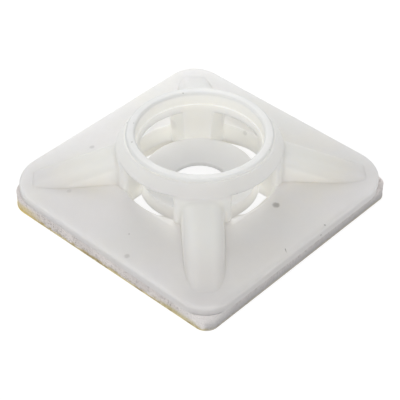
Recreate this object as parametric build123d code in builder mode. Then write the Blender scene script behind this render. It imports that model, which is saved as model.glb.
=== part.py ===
from build123d import *
from math import cos, hypot, radians, sin, sqrt, tan
import os

# Cable tie mount, in millimetres: a one-piece nylon moulding on a foam pad that is
# sticky on both sides, with the release liner still on the pad.
# The origin is on the underside of the liner, on the axis of the ring. +Z is up, and
# X and Y run along the sides of the base, which are also the two ways a tie can pass.

# Release liner and foam pad, cut together and stuck on slightly out of true
liner_thickness = 0.1
foam_thickness = 1.0
pad_side = 19.3
pad_corner_radius = 0.95
pad_worn_corner_radius = 1.6
pad_border = 3.25
pad_hole_shift_x = 0.12
pad_hole_shift_y = 0.75
pad_shift_x = 0.16
pad_shift_y = -0.25
pad_turn_degrees = 0.3

# Base plate: thin at its outer edge and thicker at the round opening in the middle
base_side = 20.0
base_tight_corner_radius = 2.2
base_wide_corner_radius = 3.2
edge_thickness = 0.68
edge_round = 0.2
opening_thickness = 1.27
opening_foot_inset = 0.28
panel_top_corner_radius = 1.6

# Ring that bridges the tie slots: widest at its base, with a narrower rim on top.
# Its depths are measured downwards from the rim
crown_height = 4.74
ring_base_radius = 5.87
ring_taper = 0.68
ring_outer_depth = 1.14
ring_inner_depth = 1.52
rim_width = 0.66
rim_chamfer = 0.1
rim_band_depth = 0.27
shoulder_width = 0.12
throat_inset = 0.23
bore_step_depth = 0.98
bore_step_width = 0.07

# Legs between the tie slots, which stand partly on the edge of the round opening
tie_slot_width = 4.4
leg_overlap = 0.24
leg_edge_round = 0.4

# Screw dish in the middle of the opening, under the throat of the ring
screw_hole_radius = 2.05
screw_hole_land = 0.3
dish_height = 0.95
bowl_inset = 0.15
dish_rim_inset = 0.07
dish_foot_flare = 0.2

# Ribs from the legs to the corners, with a crest that runs straight down
rib_root_drop = 0.35
rib_end_height = 0.85
rib_end_gap = 2.34
rib_leg_margin = 0.69
rib_draft_degrees = 4.4
rib_crest_share = 0.375
rib_root_round = 0.35

# Cuts run this far past the faces that they pass through
overrun = 1.0

# Turns of the four ribs about the axis of the ring
quarter_turn_degrees = 90
diagonal_degrees = quarter_turn_degrees / 2

# Radii from the ring inwards: rim, throat, bowl and dish, and the opening under the ring
rim_outer_radius = ring_base_radius - ring_taper
rim_inner_radius = rim_outer_radius - rim_width
throat_radius = rim_inner_radius - throat_inset
bowl_radius = throat_radius - bowl_inset
dish_rim_radius = bowl_radius - dish_rim_inset
dish_foot_radius = dish_rim_radius + dish_foot_flare
opening_radius = ring_base_radius - leg_overlap
opening_foot_radius = opening_radius - opening_foot_inset

# Heights above the underside of the liner
underside_height = liner_thickness + foam_thickness
edge_top_height = underside_height + edge_thickness
opening_top_height = underside_height + opening_thickness
dish_rim_height = underside_height + dish_height
rim_height = underside_height + crown_height

pad_plane = Plane(
    origin=(pad_shift_x, pad_shift_y, 0),
    x_dir=(cos(radians(pad_turn_degrees)), sin(radians(pad_turn_degrees)), 0),
    z_dir=(0, 0, 1),
)
corner_diagonal = Axis((0, 0, 0), (1, 1, 0))

# Outline of the pad: die-cut with a round hole a little out of its middle, and with one
# corner worn rounder than the rest
pad_hole_radius = pad_side / 2 - pad_border
with BuildSketch() as pad_outline:
    Rectangle(pad_side, pad_side)
    worn_corner = pad_outline.vertices().sort_by(corner_diagonal)[:1]
    fillet(worn_corner, pad_worn_corner_radius)
    sharp_corners = pad_outline.vertices().sort_by(corner_diagonal)[2:]
    fillet(sharp_corners, pad_corner_radius)
    with Locations((pad_hole_shift_x, pad_hole_shift_y)):
        Circle(pad_hole_radius, mode=Mode.SUBTRACT)

# Release liner
with BuildPart() as release_liner:
    with BuildSketch(pad_plane):
        add(pad_outline.sketch)
    extrude(amount=liner_thickness)

# Foam pad, stuck on over the liner
with BuildPart() as foam_pad:
    with BuildSketch(pad_plane.offset(liner_thickness)):
        add(pad_outline.sketch)
    extrude(amount=foam_thickness)

# Outline of the base: square, with one pair of opposite corners rounder than the other
with BuildSketch() as base_outline:
    Rectangle(base_side, base_side)
    tight_corners = base_outline.vertices().sort_by(corner_diagonal)[1:3]
    fillet(tight_corners, base_tight_corner_radius)
    diagonal_order = base_outline.vertices().sort_by(corner_diagonal)
    fillet([diagonal_order[0], diagonal_order[-1]], base_wide_corner_radius)

# Base plate: a thin edge, then four panels that slope up to the round opening
opening_draft = (opening_radius - opening_foot_radius) / opening_thickness
with BuildPart() as base_plate:
    with BuildSketch(Plane.XY.offset(underside_height)):
        add(base_outline.sketch)
    extrude(amount=edge_thickness)
    with BuildSketch(Plane.XY.offset(edge_top_height)):
        add(base_outline.sketch)
    with BuildSketch(Plane.XY.offset(opening_top_height)):
        RectangleRounded(2 * opening_radius, 2 * opening_radius, panel_top_corner_radius)
    loft(ruled=True)
    outer_edges = base_plate.edges().filter_by(
        lambda edge: abs(edge.center().Z - edge_top_height) < edge_round / 2
    )
    fillet(outer_edges, edge_round)
    with BuildSketch(Plane.XY.offset(underside_height - overrun)):
        Circle(opening_foot_radius - overrun * opening_draft)
    with BuildSketch(Plane.XY.offset(opening_top_height + overrun)):
        Circle(opening_radius + overrun * opening_draft)
    loft(mode=Mode.SUBTRACT)

# Legs in plan: what two crossing tie slots leave of a disc, with rounded outer corners
with BuildSketch() as leg_outline:
    Circle(ring_base_radius)
    Rectangle(2 * ring_base_radius, tie_slot_width, mode=Mode.SUBTRACT)
    Rectangle(tie_slot_width, 2 * ring_base_radius, mode=Mode.SUBTRACT)
    outer_corners = leg_outline.vertices().filter_by(
        lambda corner: hypot(corner.X, corner.Y) > opening_radius
    )
    fillet(outer_corners, leg_edge_round)

# Tie slots: what lies between the legs, under the ring and outside the dish
ring_base_height = rim_height - ring_outer_depth
throat_height = rim_height - ring_inner_depth
underside_slope = (ring_base_height - throat_height) / (ring_base_radius - throat_radius)
dish_draft = (dish_foot_radius - dish_rim_radius) / dish_height
with BuildPart() as tie_slots:
    with BuildSketch(Plane.XY.offset(underside_height - overrun)):
        Circle(ring_base_radius + overrun)
        add(leg_outline.sketch, mode=Mode.SUBTRACT)
    extrude(amount=crown_height + overrun)
    with BuildSketch(Plane.XZ):
        with BuildLine():
            Polyline(
                (dish_foot_radius + overrun * dish_draft, underside_height - overrun),
                (ring_base_radius + overrun, underside_height - overrun),
                (ring_base_radius + overrun, ring_base_height + overrun * underside_slope),
                (throat_radius - overrun, throat_height - overrun * underside_slope),
                (throat_radius - overrun, dish_rim_height),
                (dish_rim_radius, dish_rim_height),
                close=True,
            )
        make_face()
    revolve(axis=Axis.Z, mode=Mode.INTERSECT)

# Crown: the ring, its four legs and the screw dish turned as one, then slotted
with BuildPart() as crown:
    with BuildSketch(Plane.XZ) as crown_profile:
        with BuildLine():
            Polyline(
                (screw_hole_radius, underside_height),
                (ring_base_radius, underside_height),
                (ring_base_radius, ring_base_height),
                (rim_outer_radius + shoulder_width, rim_height - rim_band_depth),
                (rim_outer_radius, rim_height - rim_band_depth),
                (rim_outer_radius, rim_height),
                (rim_inner_radius, rim_height),
                (rim_inner_radius - bore_step_width, rim_height - bore_step_depth),
                (rim_inner_radius - 2 * bore_step_width, rim_height - bore_step_depth),
                (throat_radius, throat_height),
                (bowl_radius, dish_rim_height),
                (screw_hole_radius, underside_height + screw_hole_land),
                close=True,
            )
        make_face()
        chamfer(crown_profile.vertices().group_by(Axis.Y)[-1], rim_chamfer)
    revolve(axis=Axis.Z)
    add(tie_slots.part, mode=Mode.SUBTRACT)

# Ribs: as wide as the legs allow, and as long as the diagonal of the base allows
slot_half_width = tie_slot_width / 2
leg_corner_reach = sqrt(ring_base_radius**2 - slot_half_width**2)
leg_corner_step = leg_corner_reach - slot_half_width
leg_width = hypot(leg_corner_step, leg_corner_step)
rib_root_height = crown_height - ring_outer_depth - rib_root_drop
rib_end_reach = hypot(base_side / 2, base_side / 2) - rib_end_gap
rib_root_radius = (throat_radius + ring_base_radius) / 2
rib_fall = (rib_root_height - rib_end_height) / (rib_end_reach - ring_base_radius)
rib_height = rib_root_height + rib_fall * (ring_base_radius - rib_root_radius)
rib_length = (rib_end_reach - rib_root_radius) * hypot(1, rib_fall)
rib_foot_width = leg_width - 2 * rib_leg_margin
rib_top_width = rib_foot_width - 2 * rib_height * tan(radians(rib_draft_degrees))
rib_crest_radius = rib_top_width * rib_crest_share


def is_rib_root(edge):
    """Whether this edge is where a rib meets the outer face of its leg."""
    middle = edge.center()
    off_face = abs(hypot(middle.X, middle.Y) - ring_base_radius)
    off_diagonal = abs(abs(middle.X) - abs(middle.Y)) * sin(radians(diagonal_degrees))
    lowest = opening_top_height + rib_root_round
    highest = underside_height + rib_root_height + rib_root_round / 2
    return (
        off_face < rib_root_round / 2
        and off_diagonal < rib_foot_width / 2
        and lowest < middle.Z < highest
    )


# The moulding: plate, crown and the four ribs that brace it
with BuildPart() as moulded_body:
    add(base_plate.part)
    add(crown.part)
    for quarter in range(4):
        angle = radians(diagonal_degrees + quarter * quarter_turn_degrees)
        outward = (cos(angle), sin(angle))
        rib_plane = Plane(
            origin=(rib_root_radius * outward[0], rib_root_radius * outward[1], underside_height),
            x_dir=(-outward[1], outward[0], 0),
            z_dir=(outward[0], outward[1], 0),
        )
        with BuildSketch(rib_plane) as rib_section:
            Trapezoid(
                rib_foot_width,
                rib_height,
                quarter_turn_degrees - rib_draft_degrees,
                align=(Align.CENTER, Align.MIN),
            )
            fillet(rib_section.vertices().group_by(Axis.Y)[-1], rib_crest_radius)
        extrude(amount=rib_length, dir=(outward[0], outward[1], -rib_fall))
    split(bisect_by=Plane.XY.offset(underside_height), keep=Keep.TOP)
    fillet(moulded_body.edges().filter_by(is_rib_root), rib_root_round)

moulded_body.part.label = "moulded_body"
foam_pad.part.label = "foam_pad"
release_liner.part.label = "release_liner"

os.makedirs("parts", exist_ok=True)
export_step(moulded_body.part, "parts/moulded_body.step")
export_step(foam_pad.part, "parts/foam_pad.step")
export_step(release_liner.part, "parts/release_liner.step")
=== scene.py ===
from math import atan2, cos, degrees, pi, radians, sin
from types import SimpleNamespace

import bpy
from mathutils import Matrix, Vector, noise


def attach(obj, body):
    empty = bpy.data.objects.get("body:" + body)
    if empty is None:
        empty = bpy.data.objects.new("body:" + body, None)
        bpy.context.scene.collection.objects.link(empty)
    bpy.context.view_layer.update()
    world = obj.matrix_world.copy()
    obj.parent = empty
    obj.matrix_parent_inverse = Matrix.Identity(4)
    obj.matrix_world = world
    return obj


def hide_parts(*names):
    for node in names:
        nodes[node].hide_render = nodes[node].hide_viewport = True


# Cable tie mount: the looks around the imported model.
# Places and sizes on the part are in millimetres, in the frame of the CAD, and become
# metres where they are handed to Blender. Camera and lamps are in metres.
MM = 0.001

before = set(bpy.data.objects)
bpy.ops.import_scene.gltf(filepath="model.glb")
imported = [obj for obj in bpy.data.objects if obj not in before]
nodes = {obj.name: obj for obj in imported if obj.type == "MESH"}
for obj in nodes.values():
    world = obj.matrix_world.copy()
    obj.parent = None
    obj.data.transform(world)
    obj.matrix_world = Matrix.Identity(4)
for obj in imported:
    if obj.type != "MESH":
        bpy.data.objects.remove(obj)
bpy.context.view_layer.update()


# Node helpers
def new_material(name):
    """Empty node material with its output, ready for a shader."""
    material = bpy.data.materials.new(name)
    material.use_nodes = True
    tree = material.node_tree
    tree.nodes.clear()
    output = tree.nodes.new("ShaderNodeOutputMaterial")
    return material, tree, output


def add_node(tree, kind, inputs=None, **settings):
    """Adds a node, sets its properties, and sets or links its inputs."""
    node = tree.nodes.new(kind)
    for key, value in settings.items():
        setattr(node, key, value)
    for key, value in (inputs or {}).items():
        socket = node.inputs[key]
        if isinstance(value, bpy.types.NodeSocket):
            tree.links.new(value, socket)
        else:
            socket.default_value = value
    return node


def place_in_mm(tree):
    """Place on the part, in millimetres."""
    place = add_node(tree, "ShaderNodeTexCoord").outputs["Object"]
    scaled = add_node(tree, "ShaderNodeVectorMath", {0: place, "Scale": 1 / MM}, operation="SCALE")
    return scaled.outputs[0]


def coordinates(tree, place):
    """The three coordinates of a place."""
    return add_node(tree, "ShaderNodeSeparateXYZ", {0: place}).outputs


def from_axis(tree, x, y):
    """Distance from the axis of the ring."""
    flat = add_node(tree, "ShaderNodeCombineXYZ", {0: x, 1: y}).outputs[0]
    return add_node(tree, "ShaderNodeVectorMath", {0: flat}, operation="LENGTH").outputs["Value"]


def gap_to(tree, place, point):
    """Distance from a point."""
    gap = add_node(tree, "ShaderNodeVectorMath", {0: place, 1: point}, operation="DISTANCE")
    return gap.outputs["Value"]


def run_along(tree, place, direction):
    """How far a place lies along a direction: their dot product."""
    run = add_node(tree, "ShaderNodeVectorMath", {0: place, 1: direction}, operation="DOT_PRODUCT")
    return run.outputs["Value"]


def noise_value(tree, place, per_mm, detail=2.0, roughness=0.5, shift=(0, 0, 0)):
    """Noise from 0 to 1, with its features per millimetre."""
    moved = add_node(tree, "ShaderNodeVectorMath", {0: place, 1: shift}, operation="ADD").outputs[0]
    node = add_node(tree, "ShaderNodeTexNoise", {
        "Vector": moved, "Scale": per_mm, "Detail": detail, "Roughness": roughness,
    })
    return node.outputs[0]


def spread(tree, value, span, to_low=0.0, to_high=1.0):
    """Stretches a value smoothly from a span to another range, held at the ends."""
    node = add_node(tree, "ShaderNodeMapRange", {
        "Value": value, "From Min": span[0], "From Max": span[1], "To Min": to_low, "To Max": to_high,
    }, interpolation_type="SMOOTHSTEP")
    return node.outputs[0]


def fade_in(tree, value, span, most=1.0):
    """Rises from nothing at the start of a span to the most at its end."""
    return spread(tree, value, span, 0.0, most)


def fade_out(tree, value, span, most=1.0):
    """Falls from the most at the start of a span to nothing at its end."""
    return spread(tree, value, span, most, 0.0)


def calc(tree, operation, a, b=0.0):
    """One arithmetic step."""
    return add_node(tree, "ShaderNodeMath", {0: a, 1: b}, operation=operation).outputs[0]


def product(tree, first, *others):
    """All the values multiplied."""
    for other in others:
        first = calc(tree, "MULTIPLY", first, other)
    return first


def total(tree, first, *others):
    """All the values added up."""
    for other in others:
        first = calc(tree, "ADD", first, other)
    return first


def rest_of(tree, share):
    """What a share leaves of one."""
    return calc(tree, "SUBTRACT", 1.0, share)


def blend(tree, share, first, second):
    """Mixes two colours by a share from 0 to 1."""
    node = add_node(tree, "ShaderNodeMix", {0: share, 6: first, 7: second}, data_type="RGBA")
    return node.outputs[2]


def bump(tree, height, distance, strength, normal=None):
    """Normal with a relief of this depth, over another normal where one is given."""
    inputs = {"Height": height, "Distance": distance * MM, "Strength": strength}
    if normal is not None:
        inputs["Normal"] = normal
    return add_node(tree, "ShaderNodeBump", inputs).outputs[0]


def finish_material(tree, output, inputs):
    """Principled shader on the output."""
    shader = add_node(tree, "ShaderNodeBsdfPrincipled", inputs)
    tree.links.new(shader.outputs[0], output.inputs["Surface"])


# Noise mostly lies within this span
NOISE_SPAN = (0.3, 0.7)

# Directions on the part: toward the photograph's front corner, and toward its left
FORWARD = (0.5, -0.5, 0)
LEFTWARD = (-0.9, -0.3, 0)

# Dirt on the moulding, where the photograph shows it: centre, radius, depth of tone
SPECKS = [
    ((6.34, 0.95, 2.27), 0.29, 0.5),
    ((-7.71, -3.19, 2.09), 0.22, 0.25),
    ((-5.33, -7.70, 2.09), 0.2, 0.16),
    ((-0.62, 5.55, 2.20), 0.22, 0.18),
    ((2.17, -9.45, 1.85), 0.22, 0.28),
    ((-4.82, 2.20, 2.69), 0.5, 0.1),
    ((0.88, -7.96, 2.06), 0.07, 0.5),
    ((9.81, 2.09, 1.81), 0.07, 0.6),
    ((10.0, 1.47, 1.40), 0.08, 0.6),
    ((4.81, 1.90, 5.76), 0.06, 0.6),
    ((5.45, -2.17, 4.70), 0.06, 0.6),
    ((-2.62, -4.04, 5.84), 0.06, 0.55),
    ((-4.02, -2.44, 5.84), 0.06, 0.7),
    ((-4.63, -2.53, 5.57), 0.05, 0.7),
    ((-3.93, 2.45, 5.84), 0.06, 0.6),
]
SPECK_RAGGEDNESS = 0.16
SPECK_FADE_SHARES = (0.45, 1.15)
SCRATCH_START = (9.38, -1.62, 1.87)
SCRATCH_END = (9.93, -2.02, 1.73)
SCRATCH_WIDTH = 0.035
SCRATCH_DEPTH = 0.75
SCRATCH_FADE_SHARES = (0.4, 1.2)
SCRATCH_TAPER_SHARE = 0.8
DIRT = (0.19, 0.18, 0.165, 1)


def scratch_mask(tree, place):
    """How dark the short scratch is at each place."""
    start, end = Vector(SCRATCH_START), Vector(SCRATCH_END)
    half_length = (end - start).length / 2
    middle = add_node(tree, "ShaderNodeVectorMath", {0: place, 1: (start + end) / 2}, operation="SUBTRACT")
    offset = middle.outputs[0]
    run = run_along(tree, offset, (end - start).normalized())
    square = run_along(tree, offset, offset)
    off_line = calc(tree, "SUBTRACT", square, product(tree, run, run))
    across = calc(tree, "SQRT", calc(tree, "MAXIMUM", off_line, 0.0))
    line = fade_out(tree, across, [SCRATCH_WIDTH * share for share in SCRATCH_FADE_SHARES], SCRATCH_DEPTH)
    taper = fade_out(tree, calc(tree, "ABSOLUTE", run), (half_length * SCRATCH_TAPER_SHARE, half_length))
    return product(tree, line, taper)


def dirt_mask(tree, place):
    """How dirty each place is, from 0 to 1, with ragged edges."""
    ragged = noise_value(tree, place, per_mm=6.0, detail=3.0, roughness=0.6)
    uneven = product(tree, calc(tree, "SUBTRACT", ragged, 0.5), SPECK_RAGGEDNESS)
    dirt = scratch_mask(tree, place)
    for centre, radius, depth in SPECKS:
        gap = total(tree, gap_to(tree, place, centre), uneven)
        speck = fade_out(tree, gap, [radius * share for share in SPECK_FADE_SHARES], depth)
        dirt = calc(tree, "MAXIMUM", dirt, speck)
    return dirt


# Nylon: its plain colour, with tints in clouds, and two cream patches of painted warm light on the left
# and right ribs
OUTER = (0.84, 0.831, 0.822, 1)
OUTER_CREAM = (0.85, 0.84, 0.78, 1)
OUTER_COOL = (0.815, 0.826, 0.81, 1)
OUTER_DULL = (0.78, 0.775, 0.76, 1)
LIT_PATCH_CREAM = (0.87, 0.845, 0.745, 1)
CREAM_SHARE = 0.8
CREAM_SPAN = (0.42, 0.62)
COOL_SHARE = 0.6
COOL_SPAN = (0.45, 0.65)
DULL_SHARE = 0.25
MOTTLE_SHARE = 0.22
MOTTLE_SPAN = (0.35, 0.7)
LIT_PATCH_SHARE = 0.75
LIT_PATCH_CENTRES = [(-5.6, -5.6, 2.6), (6.2, 5.4, 2.6)]
LIT_PATCH_FADE = (1.2, 4.2)
LIT_PATCH_UNEVENNESS = 0.9

# Nylon: painted shade, greyer toward the front and at the right edge of the plate, and less of it beside
# the ring, where painted light lifts the ring's shadow
PAINTED_SHADE_GREY = (0.655, 0.632, 0.63, 1)
PAINTED_SIDE_SHADE = (0.55, 0.535, 0.53, 1)
FRONT_SHADE_SHARE = 0.52
FRONT_SHADE_FADE = (-9.0, 5.0)
BESIDE_RING_SHARE = 0.8
BESIDE_RING_RADII = (6.0, 8.5)
CORNER_SHADE_SHARE = 0.3
CORNER_SHADE_FADE = (7.6, 9.4)
SIDE_SHADE_SHARE = 0.35
SIDE_SHADE_FADE = (9.5, 9.95)
SIDE_SHADE_END_FADE = (3.0, 8.0)

# Nylon: what stands over the plate, such as the ribs, the ring and its rim: painted light on the raised
# parts, which also take a slightly greener tint, and painted shade on the front of the skirt and on the
# rim
LIT_RAISED = (0.84, 0.845, 0.82, 1)
RAISED_LIGHT_SHARE = 0.6
RAISED_LIGHT_HEIGHTS = (2.2, 3.6)
SKIRT_SHADE_SHARE = 0.35
SKIRT_SHADE_FADE = (1.0, 4.5)
SKIRT_SHADE_HEIGHTS = (4.2, 4.7)
SHADED_RIM = (0.75, 0.755, 0.745, 1)
SHADED_RIM_LEFT = (0.68, 0.685, 0.68, 1)
RIM_SHADE_SHARE = 0.9
RIM_SHADE_HEIGHTS = (5.5, 5.75)
RIM_LEFT_SHADE_FADE = (0.0, 4.5)

# Nylon: the inner walls, which reach out to the legs below the ring, made lighter and creamier as painted
# light, with painted shade toward the front; and the bowl of the dish
LIT_WALL = (0.885, 0.878, 0.84, 1)
WALL_FRONT_SHADE_SHARE = 0.45
WALL_FRONT_SHADE_FADE = (1.0, 3.0)
WALL_REACH_BELOW = 5.8
WALL_REACH_IN_RING = 4.62
WALL_REACH_HEIGHTS = (4.3, 4.6)
WALL_FADE = (0.0, 0.2)
BOWL = (0.84, 0.835, 0.82, 1)
BOWL_RADII = (4.0, 4.15)
BOWL_HEIGHTS = (2.06, 2.2)

# Nylon: satin surface and softened edges
NYLON_ROUGHNESS = (0.3, 0.46)
WORN_SHARE = 0.7
FINE_SHARE = 0.3
EDGE_SOFTNESS = 0.14
SOFT_EDGE_HEIGHTS = (1.15, 1.3)
SCATTER_LENGTH = 1.2
SCATTER_RADIUS = (1.0, 0.97, 0.9)

# Nylon: the faint light that comes through the walls
GLOW_COLOUR = (1.0, 0.985, 0.95, 1)
WALL_GLOW = 0.025
CREASE_GLOW = 0.12
INNER_CREASE_GLOW = 0.1
CREASE_REACH = 1.6
INNER_GLOW_FADE = (0.5, 2.5)
SKIRT_GLOW = 0.045
SKIRT_GLOW_FADE = (0.5, 4.0)
SKIRT_FOOT_HEIGHTS = (4.4, 4.9)
SKIRT_TOP_HEIGHTS = (5.6, 5.75)
FLANK_GLOW = 0.075
FLANK_STEEPNESS = (0.15, 0.5)
FLANK_FOOT_HEIGHTS = (1.9, 2.4)
FLANK_TOP_HEIGHTS = (4.4, 4.7)
LEG_GLOW_SHARE = 0.35
LEG_RADII = (5.9, 6.5)


def nylon_zones(tree, place):
    """Where a place on the moulding lies, and its share of the inner walls and of the bowl."""
    x, y, height = coordinates(tree, place)
    radius = from_axis(tree, x, y)
    reach = spread(tree, height, WALL_REACH_HEIGHTS, WALL_REACH_BELOW, WALL_REACH_IN_RING)
    inside = fade_in(tree, calc(tree, "SUBTRACT", reach, radius), WALL_FADE)
    bowl = product(tree, fade_out(tree, radius, BOWL_RADII), fade_out(tree, height, BOWL_HEIGHTS))
    wall = product(tree, inside, rest_of(tree, bowl))
    forward = run_along(tree, place, FORWARD)
    return SimpleNamespace(x=x, y=y, height=height, radius=radius, forward=forward, wall=wall, bowl=bowl)


def nylon_tints(tree, place):
    """Milky colour with faint clouds, cream patches of painted warm light and a fine mottle."""
    cream = noise_value(tree, place, per_mm=0.16)
    cool = noise_value(tree, place, per_mm=0.2, shift=(31, 7, 3))
    dull = noise_value(tree, place, per_mm=0.9, detail=4.0, roughness=0.6, shift=(5, 17, 11))
    mottle = noise_value(tree, place, per_mm=2.6, detail=3.0, roughness=0.6, shift=(21, 4, 14))
    cloud = fade_in(tree, dull, NOISE_SPAN)
    base = blend(tree, fade_in(tree, cream, CREAM_SPAN, CREAM_SHARE), OUTER, OUTER_CREAM)
    base = blend(tree, fade_in(tree, cool, COOL_SPAN, COOL_SHARE), base, OUTER_COOL)
    base = blend(tree, product(tree, cloud, DULL_SHARE), base, OUTER_DULL)
    # Cream patches: painted warm light on the ribs
    for centre in LIT_PATCH_CENTRES:
        gap = total(tree, gap_to(tree, place, centre), product(tree, cloud, LIT_PATCH_UNEVENNESS))
        base = blend(tree, fade_out(tree, gap, LIT_PATCH_FADE, LIT_PATCH_SHARE), base, LIT_PATCH_CREAM)
    return blend(tree, fade_in(tree, mottle, MOTTLE_SPAN, MOTTLE_SHARE), base, OUTER_DULL)


def nylon_light_and_shade(tree, place, zones, base):
    """The tints with painted shade at the plate's front and side, and painted light and shade on each part
    of the crown.
    """
    # Painted shade toward the front and at the front corner, with less of it beside the ring
    front_shade = product(
        tree,
        fade_in(tree, zones.forward, FRONT_SHADE_FADE, FRONT_SHADE_SHARE),
        spread(tree, zones.radius, BESIDE_RING_RADII, BESIDE_RING_SHARE, 1.0),
    )
    corner_shade = fade_in(tree, zones.forward, CORNER_SHADE_FADE, CORNER_SHADE_SHARE)
    base = blend(tree, total(tree, front_shade, corner_shade), base, PAINTED_SHADE_GREY)
    # Painted shade at the plate's right edge
    side_shade_end = fade_out(tree, zones.y, SIDE_SHADE_END_FADE)
    side_shade = product(tree, fade_in(tree, zones.x, SIDE_SHADE_FADE, SIDE_SHADE_SHARE), side_shade_end)
    base = blend(tree, side_shade, base, PAINTED_SIDE_SHADE)
    # Raised parts lighter: painted light through the thin crown, with a slightly greener tint
    base = blend(tree, fade_in(tree, zones.height, RAISED_LIGHT_HEIGHTS, RAISED_LIGHT_SHARE), base, LIT_RAISED)
    # Painted shade on the front of the ring's skirt
    skirt_height = fade_in(tree, zones.height, SKIRT_SHADE_HEIGHTS)
    skirt = product(tree, fade_in(tree, zones.forward, SKIRT_SHADE_FADE, SKIRT_SHADE_SHARE), skirt_height)
    base = blend(tree, skirt, base, PAINTED_SHADE_GREY)
    # Inner walls lighter and creamier: painted light; their front darker: painted shade
    base = blend(tree, zones.wall, base, LIT_WALL)
    wall_front_shade = fade_in(tree, zones.forward, WALL_FRONT_SHADE_FADE, WALL_FRONT_SHADE_SHARE)
    base = blend(tree, product(tree, zones.wall, wall_front_shade), base, PAINTED_SHADE_GREY)
    # Rim darker, most on the left: painted shade
    leftward = run_along(tree, place, LEFTWARD)
    rim_shade = blend(tree, fade_in(tree, leftward, RIM_LEFT_SHADE_FADE), SHADED_RIM, SHADED_RIM_LEFT)
    base = blend(tree, fade_in(tree, zones.height, RIM_SHADE_HEIGHTS, RIM_SHADE_SHARE), base, rim_shade)
    return blend(tree, zones.bowl, base, BOWL)


def nylon_surface(tree, place, height):
    """Roughness and normal of the satin surface. Edges are softened, but not at the plate's foot."""
    worn = noise_value(tree, place, per_mm=1.4, detail=3.0, roughness=0.55, shift=(3, 9, 27))
    fine = noise_value(tree, place, per_mm=9.0, detail=3.0, roughness=0.6)
    waves = noise_value(tree, place, per_mm=0.7, detail=1.0, roughness=0.4, shift=(13, 2, 8))
    uneven = total(tree, product(tree, worn, WORN_SHARE), product(tree, fine, FINE_SHARE))
    rough = spread(tree, uneven, NOISE_SPAN, *NYLON_ROUGHNESS)
    sharp = add_node(tree, "ShaderNodeNewGeometry").outputs["Normal"]
    rounded = add_node(tree, "ShaderNodeBevel", {"Radius": EDGE_SOFTNESS * MM}, samples=6).outputs[0]
    edges = add_node(tree, "ShaderNodeMix", {
        0: fade_in(tree, height, SOFT_EDGE_HEIGHTS), 4: sharp, 5: rounded,
    }, data_type="VECTOR")
    wavy = bump(tree, waves, distance=0.05, strength=0.5, normal=edges.outputs[1])
    return rough, bump(tree, fine, distance=0.006, strength=0.6, normal=wavy)


def nylon_glow(tree, zones):
    """Light through the walls: on the inner walls, in creases, on the skirt and on steep flanks."""
    openness = add_node(tree, "ShaderNodeAmbientOcclusion", {"Distance": CREASE_REACH * MM}, samples=8)
    shut = rest_of(tree, openness.outputs["AO"])
    inner = product(tree, zones.wall, fade_out(tree, zones.forward, INNER_GLOW_FADE))
    crease = product(tree, shut, total(tree, CREASE_GLOW, product(tree, inner, INNER_CREASE_GLOW)))
    skirt = product(
        tree,
        fade_in(tree, zones.height, SKIRT_FOOT_HEIGHTS),
        fade_out(tree, zones.height, SKIRT_TOP_HEIGHTS, SKIRT_GLOW),
        fade_out(tree, zones.forward, SKIRT_GLOW_FADE),
    )
    normal = add_node(tree, "ShaderNodeNewGeometry").outputs["Normal"]
    upward = calc(tree, "ABSOLUTE", coordinates(tree, normal)[2])
    flank = product(
        tree,
        fade_out(tree, upward, FLANK_STEEPNESS, FLANK_GLOW),
        fade_in(tree, zones.height, FLANK_FOOT_HEIGHTS),
        fade_out(tree, zones.height, FLANK_TOP_HEIGHTS),
        rest_of(tree, zones.wall),
        spread(tree, zones.radius, LEG_RADII, LEG_GLOW_SHARE, 1.0),
    )
    return total(tree, product(tree, inner, WALL_GLOW), crease, skirt, flank)


def nylon_material():
    """Natural nylon: milky, satin, slightly translucent, with faint tints, painted light and shade, and a
    little dirt.
    """
    material, tree, output = new_material("nylon")
    place = place_in_mm(tree)
    zones = nylon_zones(tree, place)
    clean = nylon_light_and_shade(tree, place, zones, nylon_tints(tree, place))
    dirt = dirt_mask(tree, place)
    rough, normal = nylon_surface(tree, place, zones.height)
    finish_material(tree, output, {
        "Base Color": blend(tree, dirt, clean, DIRT),
        "Roughness": rough,
        "Normal": normal,
        "Subsurface Weight": 1.0,
        "Subsurface Radius": SCATTER_RADIUS,
        "Subsurface Scale": SCATTER_LENGTH * MM,
        "Emission Color": GLOW_COLOUR,
        "Emission Strength": product(tree, nylon_glow(tree, zones), rest_of(tree, dirt)),
    })
    return material


# Foam: pale, speckled with cut cells and dust
FOAM_PALE = (0.82, 0.775, 0.755, 1)
FOAM_GREY = (0.71, 0.67, 0.655, 1)
FOAM_DARK = (0.5, 0.47, 0.46, 1)
FOAM_PIT = (0.3, 0.27, 0.25, 1)
FOAM_ROUGHNESS = (0.75, 0.95)
FOAM_CELLS_PER_MM = 5.5
GREY_SPAN = (0.35, 0.65)
DARK_SHARE = 0.5
DARK_SPAN = (0.7, 1.0)
PIT_SHARE = 0.85
PIT_SPAN = (0.55, 0.66)
DUST_SPAN = (0.42, 0.6)
CLEAN_SHARE = 0.15
CLEAN_SIDE_SHARE = 0.1
CLEAN_SIDE_FADE = (9.2, 9.5)

# Foam: the paler front corner, and the darker right side, which is painted shade
FOAM_CORNER = (0.9, 0.88, 0.87, 1)
FOAM_CORNER_SHARE = 0.5
FOAM_CORNER_FADE = (16.5, 18.0)
FOAM_SHADE = (0.47, 0.46, 0.465, 1)
FOAM_SHADE_SHARES = (0.9, 0.15)
FOAM_SHADE_FADE = (9.3, 9.6)
FOAM_HEIGHTS = (0.1, 1.1)

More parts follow.
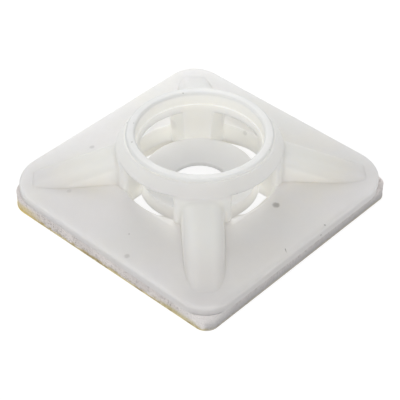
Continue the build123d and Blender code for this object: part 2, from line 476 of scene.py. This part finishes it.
# Foam: grime low on the left side, yellowed left corner, olive stain beside the front corner
FOAM_GRIME = (0.5, 0.42, 0.24, 1)
GRIME_SPAN = (0.42, 0.6)
GRIME_HEIGHTS = (0.1, 0.42)
LEFT_SIDE_FADE = (-9.4, -9.0)
FOAM_YELLOW = (0.72, 0.6, 0.3, 1)
YELLOW_SHARE = 0.75
YELLOW_FADE = (-17.8, -15.2)
YELLOW_HEIGHTS = (0.4, 0.9)
FOAM_OLIVE = (0.62, 0.56, 0.34, 1)
OLIVE_SHARE = 0.7
OLIVE_START_FADE = (14.5, 16.5)
OLIVE_END_FADE = (18.3, 19.0)
OLIVE_HEIGHTS = (0.2, 0.55)

# Foam and liner: the hole under the ring, which glows faintly through the moulding, with painted light at
# its back and painted shade at its front
HOLE_LIT = (0.85, 0.83, 0.77, 1)
HOLE_SHADED = (0.62, 0.61, 0.59, 1)
HOLE_SHADE_FADE = (-1.0, 4.0)
HOLE_RADII = (7.0, 7.4)
HOLE_GLOW = 0.2
HOLE_GLOW_COLOUR = (1.0, 0.97, 0.9, 1)


def foam_speckle(tree, place, x, grain):
    """Pale foam with broad greyer areas, darker cells, and pits in dusty patches."""
    broad = noise_value(tree, place, per_mm=0.55, detail=3.0, roughness=0.6)
    dusty = noise_value(tree, place, per_mm=0.45, shift=(8, 8, 1))
    cells = add_node(tree, "ShaderNodeTexVoronoi", {
        "Vector": place, "Scale": FOAM_CELLS_PER_MM,
    }, feature="F1")
    tone = add_node(tree, "ShaderNodeSeparateColor", {0: cells.outputs["Color"]}).outputs[0]
    base = blend(tree, fade_in(tree, broad, GREY_SPAN), FOAM_PALE, FOAM_GREY)
    base = blend(tree, fade_in(tree, tone, DARK_SPAN, DARK_SHARE), base, FOAM_DARK)
    pits = product(
        tree,
        fade_in(tree, grain, PIT_SPAN, PIT_SHARE),
        spread(tree, dusty, DUST_SPAN, CLEAN_SHARE, 1.0),
        spread(tree, x, CLEAN_SIDE_FADE, 1.0, CLEAN_SIDE_SHARE),
    )
    return blend(tree, pits, base, FOAM_PIT)


def foam_stains_and_shade(tree, place, base, to_front, to_back):
    """The foam with its paler corner, painted shade on its right side, grime and yellow stains."""
    x, y, height = coordinates(tree, place)
    base = blend(tree, fade_in(tree, to_front, FOAM_CORNER_FADE, FOAM_CORNER_SHARE), base, FOAM_CORNER)
    # Painted shade on the right side, most toward the bottom
    downward = spread(tree, height, FOAM_HEIGHTS, *FOAM_SHADE_SHARES)
    base = blend(tree, product(tree, fade_in(tree, x, FOAM_SHADE_FADE), downward), base, FOAM_SHADE)
    smears = noise_value(tree, place, per_mm=1.6, detail=4.0, roughness=0.65, shift=(9, 1, 2))
    left_side = fade_out(tree, y, LEFT_SIDE_FADE)
    low = fade_out(tree, height, GRIME_HEIGHTS)
    base = blend(tree, product(tree, low, fade_in(tree, smears, GRIME_SPAN), left_side), base, FOAM_GRIME)
    yellow_low = fade_out(tree, height, YELLOW_HEIGHTS)
    yellow = product(tree, fade_out(tree, to_back, YELLOW_FADE, YELLOW_SHARE), yellow_low)
    base = blend(tree, yellow, base, FOAM_YELLOW)
    olive = product(
        tree,
        fade_in(tree, to_front, OLIVE_START_FADE, OLIVE_SHARE),
        fade_out(tree, to_front, OLIVE_END_FADE),
        fade_out(tree, height, OLIVE_HEIGHTS),
        left_side,
    )
    return blend(tree, olive, base, FOAM_OLIVE)


def foam_material():
    """Pale foam: cut cells at the outer edge, with dust and grime low on the edge."""
    material, tree, output = new_material("foam")
    place = place_in_mm(tree)
    x, y, height = coordinates(tree, place)
    to_front = calc(tree, "SUBTRACT", x, y)
    to_back = total(tree, x, y)
    grain = noise_value(tree, place, per_mm=8.0, detail=3.0, roughness=0.65, shift=(4, 4, 9))
    base = foam_stains_and_shade(tree, place, foam_speckle(tree, place, x, grain), to_front, to_back)
    hole = fade_out(tree, from_axis(tree, x, y), HOLE_RADII)
    # Painted light at the back of the hole, painted shade at its front
    hole_light_and_shade = blend(tree, fade_in(tree, to_front, HOLE_SHADE_FADE), HOLE_LIT, HOLE_SHADED)
    finish_material(tree, output, {
        "Base Color": blend(tree, hole, base, hole_light_and_shade),
        "Roughness": spread(tree, grain, NOISE_SPAN, *FOAM_ROUGHNESS),
        "Normal": bump(tree, grain, distance=0.03, strength=0.7),
        "Emission Color": HOLE_GLOW_COLOUR,
        "Emission Strength": product(tree, hole, HOLE_GLOW),
    })
    return material


# Liner: waxed paper, stained, yellow at the left corner, grey at the right side as painted shade, and pale
# in the hole as painted light
LINER_PAPER = (0.72, 0.63, 0.36, 1)
LINER_ROUGHNESS = (0.45, 0.7)
LINER_STAIN = (0.42, 0.33, 0.16, 1)
LINER_STAIN_SPAN = (0.4, 0.65)
LINER_FIBRE = (0.8, 0.74, 0.52, 1)
LINER_FIBRE_SHARE = 0.5
LINER_FIBRE_SPAN = (0.45, 0.75)
LINER_YELLOW = (0.78, 0.62, 0.22, 1)
LINER_YELLOW_SHARE = 0.85
LINER_YELLOW_FADE = (-17.5, -15.0)
LINER_SHADE = (0.5, 0.48, 0.45, 1)
LINER_SHADE_SHARE = 0.8
LINER_SHADE_FADE = (9.3, 9.6)
LINER_HOLE_SHARE = 0.7
LINER_HOLE_HEIGHTS = (0.0, 0.02)


def liner_material():
    """Yellow-brown waxed paper, stained along its edge, with painted shade at the right side and painted
    light in the hole.
    """
    material, tree, output = new_material("liner")
    place = place_in_mm(tree)
    x, y, height = coordinates(tree, place)
    stain = noise_value(tree, place, per_mm=0.8, detail=4.0, roughness=0.6, shift=(2, 5, 1))
    fibre = noise_value(tree, place, per_mm=10.0, detail=3.0, roughness=0.65)
    base = blend(tree, fade_in(tree, stain, LINER_STAIN_SPAN), LINER_PAPER, LINER_STAIN)
    base = blend(tree, fade_in(tree, fibre, LINER_FIBRE_SPAN, LINER_FIBRE_SHARE), base, LINER_FIBRE)
    yellow = fade_out(tree, total(tree, x, y), LINER_YELLOW_FADE, LINER_YELLOW_SHARE)
    base = blend(tree, yellow, base, LINER_YELLOW)
    # Painted shade at the right side
    base = blend(tree, fade_in(tree, x, LINER_SHADE_FADE, LINER_SHADE_SHARE), base, LINER_SHADE)
    # Painted light in the hole under the ring
    above = fade_in(tree, height, LINER_HOLE_HEIGHTS)
    hole = product(tree, fade_out(tree, from_axis(tree, x, y), HOLE_RADII), above)
    finish_material(tree, output, {
        "Base Color": blend(tree, product(tree, hole, LINER_HOLE_SHARE), base, HOLE_LIT),
        "Roughness": spread(tree, fibre, NOISE_SPAN, *LINER_ROUGHNESS),
        "Normal": bump(tree, fibre, distance=0.01, strength=0.5),
        "Emission Color": HOLE_GLOW_COLOUR,
        "Emission Strength": product(tree, hole, HOLE_GLOW),
    })
    return material


def dress(node, material):
    """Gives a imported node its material."""
    node.data.materials.clear()
    node.data.materials.append(material)


dress(nodes["moulded_body"], nylon_material())
dress(nodes["release_liner"], liner_material())


# Foam pad, with the sizes that it has in the CAD
QUARTER_TURN = pi / 2
PAD_SIDE = 19.3
PAD_CORNER = 0.95
PAD_WORN_CORNER = 1.6
PAD_SHIFT = (0.16, -0.25)
PAD_TURN = radians(0.3)
PAD_BOTTOM = 0.1
PAD_TOP = 1.1

# The hole is uneven and off centre: angle in degrees, distance of its edge from the ring's axis
HOLE_EDGE = [
    (-180, 5.7), (-150, 5.5), (-120, 5.25), (-102, 4.77), (-90, 4.58), (-82, 4.26),
    (-60, 4.2), (-30, 4.2), (-10, 4.26), (-2, 4.52), (9, 4.66), (25, 4.95),
    (45, 5.6), (70, 6.08), (93, 6.36), (118, 6.2), (138, 6.2), (160, 5.85),
]

# Cells that the knife cut open: their walls stay, and each is as deep as chance has it
CELL_STEP = 0.06
CELLS_PER_MM = 5.0
CELL_DEPTH = 0.07
CELL_WALL_SHARE = 0.35
SHALLOWEST_SHARE = 0.35
WAVE_DEPTH = 0.03
WAVES_PER_MM = 0.8
CHANCE_SCALE = 3.7
LEAST_CORNER_STEPS = 4


def direction(angle):
    """Unit vector in the plane."""
    return Vector((cos(angle), sin(angle)))


def pad_outline():
    """Points around the pad with their outward directions, evenly spaced, where the pad lies."""
    half = PAD_SIDE / 2
    corners = [(1, -1, PAD_CORNER), (1, 1, PAD_CORNER), (-1, 1, PAD_CORNER), (-1, -1, PAD_WORN_CORNER)]
    outline = []
    for index, (side_x, side_y, radius) in enumerate(corners):
        centre = Vector((side_x, side_y)) * (half - radius)
        start = (index - 1) * QUARTER_TURN
        steps = max(LEAST_CORNER_STEPS, round(radius * QUARTER_TURN / CELL_STEP))
        for step in range(steps + 1):
            outward = direction(start + QUARTER_TURN * step / steps)
            outline.append((centre + outward * radius, outward))
        next_x, next_y, next_radius = corners[(index + 1) % len(corners)]
        first = outline[-1][0]
        last = Vector((next_x, next_y)) * (half - next_radius) + outward * next_radius
        steps = round((last - first).length / CELL_STEP)
        for step in range(1, steps):
            outline.append((first.lerp(last, step / steps), outward))
    turn = Matrix.Rotation(PAD_TURN, 2)
    return [(turn @ point + Vector(PAD_SHIFT), turn @ outward) for point, outward in outline]


def hole_reach(angle):
    """Distance from the ring's axis to the edge of the hole, on a smooth curve through its points."""
    turn = (degrees(angle) + 180) % 360 - 180
    index = max(i for i, (start, _) in enumerate(HOLE_EDGE) if start <= turn)
    before, first, second, after = [HOLE_EDGE[(index + step) % len(HOLE_EDGE)] for step in (-1, 0, 1, 2)]
    span = (second[0] - first[0]) % 360
    share = (turn - first[0]) / span
    slope_in = (second[1] - before[1]) * span / ((second[0] - before[0]) % 360)
    slope_out = (after[1] - first[1]) * span / ((after[0] - first[0]) % 360)
    rise = second[1] - first[1]
    bend = (slope_in - rise) * (1 - share) - (slope_out - rise) * share
    return first[1] + rise * share + share * (1 - share) * bend


def hole_outline(outline):
    """Point of the hole's edge across from each point of the outline, facing the ring's axis."""
    angles = [atan2(point.y, point.x) for point, _ in outline]
    return [(direction(angle) * hole_reach(angle), -direction(angle)) for angle in angles]


def cell_pit(x, y, z):
    """Depth of the cut at this place: a cell between its walls, and a slow wave."""
    distances, points = noise.voronoi(Vector((x, y, z)) * CELLS_PER_MM)
    opened = min(1.0, (distances[1] - distances[0]) / CELL_WALL_SHARE)
    chance = abs(noise.noise(points[0] * CHANCE_SCALE))
    depth = CELL_DEPTH * opened * (SHALLOWEST_SHARE + (1 - SHALLOWEST_SHARE) * chance)
    wave = (1 + noise.noise(Vector((x, y, z)) * WAVES_PER_MM)) / 2
    return depth + WAVE_DEPTH * wave


def cut_wall(outline, rows):
    """Points of a wall, row by row from below, with pits in all but the row under the moulding."""
    points = []
    for row in range(rows + 1):
        z = PAD_BOTTOM + (PAD_TOP - PAD_BOTTOM) * row / rows
        for point, outward in outline:
            pit = 0.0 if row == rows else cell_pit(point.x, point.y, z)
            cut = point - outward * pit
            points.append((cut.x * MM, cut.y * MM, z * MM))
    return points


def make_foam():
    """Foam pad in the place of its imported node, with pits in its outer edge and its hole."""
    outline = pad_outline()
    rows = round((PAD_TOP - PAD_BOTTOM) / CELL_STEP)
    count = len(outline)
    points = cut_wall(outline, rows) + cut_wall(hole_outline(outline), rows)
    hole = (rows + 1) * count
    top = rows * count
    faces = []
    for i in range(count):
        j = (i + 1) % count
        for low in range(0, top, count):
            high = low + count
            faces.append((low + i, low + j, high + j, high + i))
            faces.append((hole + low + j, hole + low + i, hole + high + i, hole + high + j))
        faces.append((top + i, top + j, hole + top + j, hole + top + i))
        faces.append((j, i, hole + i, hole + j))
    mesh = bpy.data.meshes.new("foam_edge_cells")
    mesh.from_pydata(points, [], faces)
    mesh.update()
    mesh.materials.append(foam_material())
    foam = bpy.data.objects.new("foam_edge_cells", mesh)
    bpy.context.scene.collection.objects.link(foam)
    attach(foam, "root")
    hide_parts("foam_pad")


make_foam()

# Floor, in metres
FLOOR_HALF_WIDTH = 0.6
FLOOR = (0.85, 0.85, 0.85, 1)
FLOOR_SEEN = (0.25, 0.25, 0.25, 1)
FLOOR_GLOW = 0.84


def floor_material():
    """White floor that keeps the shadow and looks white to the camera."""
    material, tree, output = new_material("floor")
    seen = add_node(tree, "ShaderNodeLightPath").outputs["Is Camera Ray"]
    plain = add_node(tree, "ShaderNodeBsdfDiffuse", {"Color": FLOOR})
    shadowed = add_node(tree, "ShaderNodeBsdfDiffuse", {"Color": FLOOR_SEEN})
    glow = add_node(tree, "ShaderNodeEmission", {"Color": (1, 1, 1, 1), "Strength": FLOOR_GLOW})
    white = add_node(tree, "ShaderNodeAddShader", {0: shadowed.outputs[0], 1: glow.outputs[0]})
    mix = add_node(tree, "ShaderNodeMixShader", {0: seen, 1: plain.outputs[0], 2: white.outputs[0]})
    tree.links.new(mix.outputs[0], output.inputs["Surface"])
    return material


def make_floor():
    """Plain floor that the liner lies on."""
    half = FLOOR_HALF_WIDTH
    corners = [(-half, -half, 0), (half, -half, 0), (half, half, 0), (-half, half, 0)]
    mesh = bpy.data.meshes.new("floor")
    mesh.from_pydata(corners, [], [(0, 1, 2, 3)])
    mesh.materials.append(floor_material())
    floor = bpy.data.objects.new("floor", mesh)
    bpy.context.scene.collection.objects.link(floor)


make_floor()

# Camera, at the photograph's viewing angle: distances in metres, lens in millimetres
CAMERA_AZIMUTH = radians(42.767)
CAMERA_ELEVATION = radians(40.884)
CAMERA_ROLL = radians(0.332)
CAMERA_DISTANCE = 0.10302
CAMERA_AIM = (0.0019375, -0.002035, 0.002)
CAMERA_LENS = 133.02
CAMERA_CLIP = 0.001


def bearing(azimuth, elevation):
    """Unit vector away from the part, with the azimuth from its -Y side toward +X."""
    return Vector((sin(azimuth) * cos(elevation), -cos(azimuth) * cos(elevation), sin(elevation)))


def make_camera():
    """Camera that looks at the aim point from its azimuth, elevation and distance."""
    back = bearing(CAMERA_AZIMUTH, CAMERA_ELEVATION)
    level = Vector((cos(CAMERA_AZIMUTH), sin(CAMERA_AZIMUTH), 0))
    upright = back.cross(level)
    right = level * cos(CAMERA_ROLL) + upright * sin(CAMERA_ROLL)
    up = upright * cos(CAMERA_ROLL) - level * sin(CAMERA_ROLL)
    data = bpy.data.cameras.new("camera")
    data.lens = CAMERA_LENS
    data.clip_start = CAMERA_CLIP
    camera = bpy.data.objects.new("camera", data)
    bpy.context.scene.collection.objects.link(camera)
    turn = Matrix((right, up, back)).transposed().to_4x4()
    camera.matrix_world = Matrix.Translation(Vector(CAMERA_AIM) + back * CAMERA_DISTANCE) @ turn
    bpy.context.scene.camera = camera


make_camera()

# Soft lamps: name, azimuth and elevation in degrees, distance and size in metres, power in watts
SOFTBOXES = [
    ("front_softbox", 50, 45, 0.4, 0.35, 0.55),
    ("left_softbox", -30, 35, 0.4, 0.4, 0.26),
    ("back_softbox", 230, 40, 0.06, 0.03, 0.0095),
]
STUDIO_LEVEL = 0.5
BACKGROUND_LEVEL = 1.0


def add_softbox(name, azimuth, elevation, distance, size, power):
    """Square lamp that faces the part."""
    data = bpy.data.lights.new(name, "AREA")
    data.shape = "SQUARE"
    data.size = size
    data.energy = power
    lamp = bpy.data.objects.new(name, data)
    bpy.context.scene.collection.objects.link(lamp)
    toward = bearing(radians(azimuth), radians(elevation))
    lamp.location = toward * distance
    lamp.rotation_euler = toward.to_track_quat("Z", "Y").to_euler()


def make_studio():
    """Even light from all round, which the camera sees as white."""
    world = bpy.data.worlds.new("studio")
    bpy.context.scene.world = world
    world.use_nodes = True
    tree = world.node_tree
    tree.nodes.clear()
    output = tree.nodes.new("ShaderNodeOutputWorld")
    seen = add_node(tree, "ShaderNodeLightPath").outputs["Is Camera Ray"]
    level = add_node(tree, "ShaderNodeMix", {0: seen, 2: STUDIO_LEVEL, 3: BACKGROUND_LEVEL})
    studio = add_node(tree, "ShaderNodeBackground", {"Color": (1, 1, 1, 1), "Strength": level.outputs[0]})
    tree.links.new(studio.outputs[0], output.inputs["Surface"])


for softbox in SOFTBOXES:
    add_softbox(*softbox)
make_studio()

bpy.context.scene.view_settings.view_transform = "Standard"
